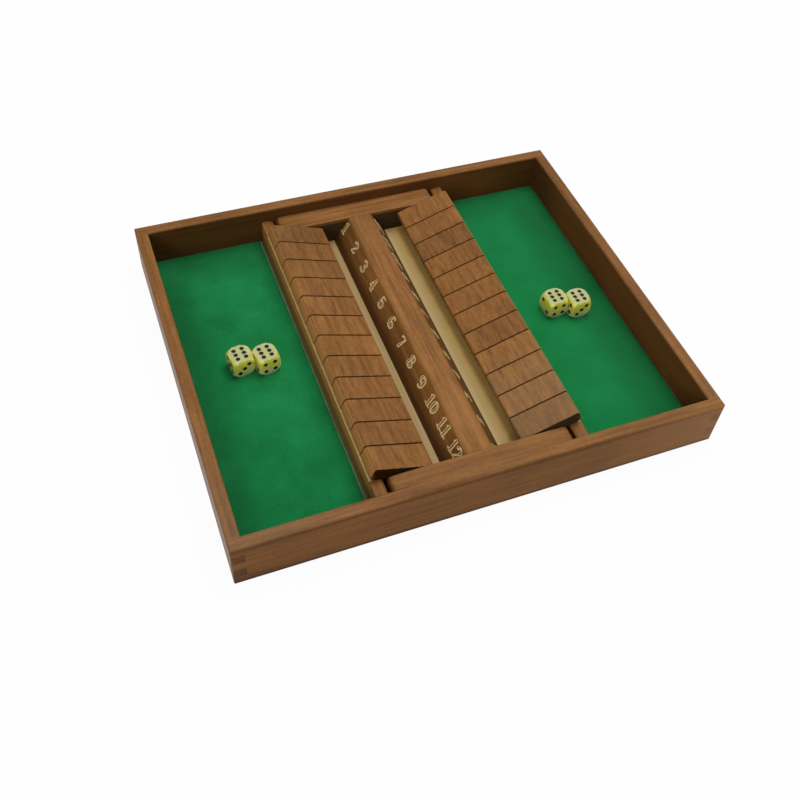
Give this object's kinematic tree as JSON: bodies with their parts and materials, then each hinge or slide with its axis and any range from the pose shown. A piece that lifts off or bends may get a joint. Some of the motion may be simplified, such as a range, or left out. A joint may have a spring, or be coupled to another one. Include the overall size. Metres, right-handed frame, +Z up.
{
  "type": "shut the box game",
  "caption": "Open wooden tray with two felt dice fields and, between them, two banks of flip-over tiles on steel rods beside a numbered ridge.",
  "frame": {"origin": "centre of the box's footprint, on the plane of its underside", "axes": "+X from the left field to the right field, +Y from the front wall to the back wall, +Z up"},
  "size_m": [0.35, 0.298, 0.04],
  "materials": {
    "wall_wood": "satin varnish over a reddish mid-brown stain",
    "centre_wood": "satin varnish over a reddish mid-brown stain",
    "tile_wood": "satin varnish, grain along the rod",
    "bare_wood": "bare, matt",
    "felt": "green wool felt, matt",
    "steel": "drawn wire",
    "die_plastic": "glossy ivory yellow with black pips"
  },
  "bodies": {
    "box": {"front_wall": "wall_wood", "back_wall": "wall_wood", "left_wall": "wall_wood", "right_wall": "wall_wood", "base_panel": "bare_wood", "left_felt": "felt", "right_felt": "felt", "left_rail": "centre_wood", "right_rail": "centre_wood", "front_rod_block": "centre_wood", "back_rod_block": "centre_wood", "number_ridge": "centre_wood", "left_rod": "steel", "right_rod": "steel"},
    "left_tile_01": {"left_tile_01": "tile_wood"},
    "left_tile_02": {"left_tile_02": "tile_wood"},
    "left_tile_03": {"left_tile_03": "tile_wood"},
    "left_tile_04": {"left_tile_04": "tile_wood"},
    "left_tile_05": {"left_tile_05": "tile_wood"},
    "left_tile_06": {"left_tile_06": "tile_wood"},
    "left_tile_07": {"left_tile_07": "tile_wood"},
    "left_tile_08": {"left_tile_08": "tile_wood"},
    "left_tile_09": {"left_tile_09": "tile_wood"},
    "left_tile_10": {"left_tile_10": "tile_wood"},
    "left_tile_11": {"left_tile_11": "tile_wood"},
    "left_tile_12": {"left_tile_12": "tile_wood"},
    "right_tile_01": {"right_tile_01": "tile_wood"},
    "right_tile_02": {"right_tile_02": "tile_wood"},
    "right_tile_03": {"right_tile_03": "tile_wood"},
    "right_tile_04": {"right_tile_04": "tile_wood"},
    "right_tile_05": {"right_tile_05": "tile_wood"},
    "right_tile_06": {"right_tile_06": "tile_wood"},
    "right_tile_07": {"right_tile_07": "tile_wood"},
    "right_tile_08": {"right_tile_08": "tile_wood"},
    "right_tile_09": {"right_tile_09": "tile_wood"},
    "right_tile_10": {"right_tile_10": "tile_wood"},
    "right_tile_11": {"right_tile_11": "tile_wood"},
    "right_tile_12": {"right_tile_12": "tile_wood"},
    "left_die_a": {"left_die_a": "die_plastic"},
    "left_die_b": {"left_die_b": "die_plastic"},
    "right_die_a": {"right_die_a": "die_plastic"},
    "right_die_b": {"right_die_b": "die_plastic"}
  },
  "joints": [
    {"name": "left_tile_01_flip", "type": "hinge", "parent": "box", "child": "left_tile_01", "pos_m": [-0.038, 0.1122, 0.0222], "axis": [0, 1, 0], "range_deg": [0, 136.2]},
    {"name": "left_tile_02_flip", "type": "hinge", "parent": "box", "child": "left_tile_02", "pos_m": [-0.038, 0.0918, 0.0222], "axis": [0, 1, 0], "range_deg": [0, 136.2]},
    {"name": "left_tile_03_flip", "type": "hinge", "parent": "box", "child": "left_tile_03", "pos_m": [-0.038, 0.0714, 0.0222], "axis": [0, 1, 0], "range_deg": [0, 136.2]},
    {"name": "left_tile_04_flip", "type": "hinge", "parent": "box", "child": "left_tile_04", "pos_m": [-0.038, 0.051, 0.0222], "axis": [0, 1, 0], "range_deg": [0, 136.2]},
    {"name": "left_tile_05_flip", "type": "hinge", "parent": "box", "child": "left_tile_05", "pos_m": [-0.038, 0.0306, 0.0222], "axis": [0, 1, 0], "range_deg": [0, 136.2]},
    {"name": "left_tile_06_flip", "type": "hinge", "parent": "box", "child": "left_tile_06", "pos_m": [-0.038, 0.0102, 0.0222], "axis": [0, 1, 0], "range_deg": [0, 136.2]},
    {"name": "left_tile_07_flip", "type": "hinge", "parent": "box", "child": "left_tile_07", "pos_m": [-0.038, -0.0102, 0.0222], "axis": [0, 1, 0], "range_deg": [0, 136.2]},
    {"name": "left_tile_08_flip", "type": "hinge", "parent": "box", "child": "left_tile_08", "pos_m": [-0.038, -0.0306, 0.0222], "axis": [0, 1, 0], "range_deg": [0, 136.2]},
    {"name": "left_tile_09_flip", "type": "hinge", "parent": "box", "child": "left_tile_09", "pos_m": [-0.038, -0.051, 0.0222], "axis": [0, 1, 0], "range_deg": [0, 136.2]},
    {"name": "left_tile_10_flip", "type": "hinge", "parent": "box", "child": "left_tile_10", "pos_m": [-0.038, -0.0714, 0.0222], "axis": [0, 1, 0], "range_deg": [0, 136.2]},
    {"name": "left_tile_11_flip", "type": "hinge", "parent": "box", "child": "left_tile_11", "pos_m": [-0.038, -0.0918, 0.0222], "axis": [0, 1, 0], "range_deg": [0, 136.2]},
    {"name": "left_tile_12_flip", "type": "hinge", "parent": "box", "child": "left_tile_12", "pos_m": [-0.038, -0.1122, 0.0222], "axis": [0, 1, 0], "range_deg": [0, 136.2]},
    {"name": "right_tile_01_flip", "type": "hinge", "parent": "box", "child": "right_tile_01", "pos_m": [0.038, -0.1122, 0.0222], "axis": [0, -1, 0], "range_deg": [0, 136.2]},
    {"name": "right_tile_02_flip", "type": "hinge", "parent": "box", "child": "right_tile_02", "pos_m": [0.038, -0.0918, 0.0222], "axis": [0, -1, 0], "range_deg": [0, 136.2]},
    {"name": "right_tile_03_flip", "type": "hinge", "parent": "box", "child": "right_tile_03", "pos_m": [0.038, -0.0714, 0.0222], "axis": [0, -1, 0], "range_deg": [0, 136.2]},
    {"name": "right_tile_04_flip", "type": "hinge", "parent": "box", "child": "right_tile_04", "pos_m": [0.038, -0.051, 0.0222], "axis": [0, -1, 0], "range_deg": [0, 136.2]},
    {"name": "right_tile_05_flip", "type": "hinge", "parent": "box", "child": "right_tile_05", "pos_m": [0.038, -0.0306, 0.0222], "axis": [0, -1, 0], "range_deg": [0, 136.2]},
    {"name": "right_tile_06_flip", "type": "hinge", "parent": "box", "child": "right_tile_06", "pos_m": [0.038, -0.0102, 0.0222], "axis": [0, -1, 0], "range_deg": [0, 136.2]},
    {"name": "right_tile_07_flip", "type": "hinge", "parent": "box", "child": "right_tile_07", "pos_m": [0.038, 0.0102, 0.0222], "axis": [0, -1, 0], "range_deg": [0, 136.2]},
    {"name": "right_tile_08_flip", "type": "hinge", "parent": "box", "child": "right_tile_08", "pos_m": [0.038, 0.0306, 0.0222], "axis": [0, -1, 0], "range_deg": [0, 136.2]},
    {"name": "right_tile_09_flip", "type": "hinge", "parent": "box", "child": "right_tile_09", "pos_m": [0.038, 0.051, 0.0222], "axis": [0, -1, 0], "range_deg": [0, 136.2]},
    {"name": "right_tile_10_flip", "type": "hinge", "parent": "box", "child": "right_tile_10", "pos_m": [0.038, 0.0714, 0.0222], "axis": [0, -1, 0], "range_deg": [0, 136.2]},
    {"name": "right_tile_11_flip", "type": "hinge", "parent": "box", "child": "right_tile_11", "pos_m": [0.038, 0.0918, 0.0222], "axis": [0, -1, 0], "range_deg": [0, 136.2]},
    {"name": "right_tile_12_flip", "type": "hinge", "parent": "box", "child": "right_tile_12", "pos_m": [0.038, 0.1122, 0.0222], "axis": [0, -1, 0], "range_deg": [0, 136.2]},
    {"name": "left_die_a_lift", "type": "slide", "parent": "box", "child": "left_die_a", "axis": [0, 0, 1], "range_m": [0, 0.06]},
    {"name": "left_die_b_lift", "type": "slide", "parent": "box", "child": "left_die_b", "axis": [0, 0, 1], "range_m": [0, 0.06]},
    {"name": "right_die_a_lift", "type": "slide", "parent": "box", "child": "right_die_a", "axis": [0, 0, 1], "range_m": [0, 0.06]},
    {"name": "right_die_b_lift", "type": "slide", "parent": "box", "child": "right_die_b", "axis": [0, 0, 1], "range_m": [0, 0.06]}
  ]
}
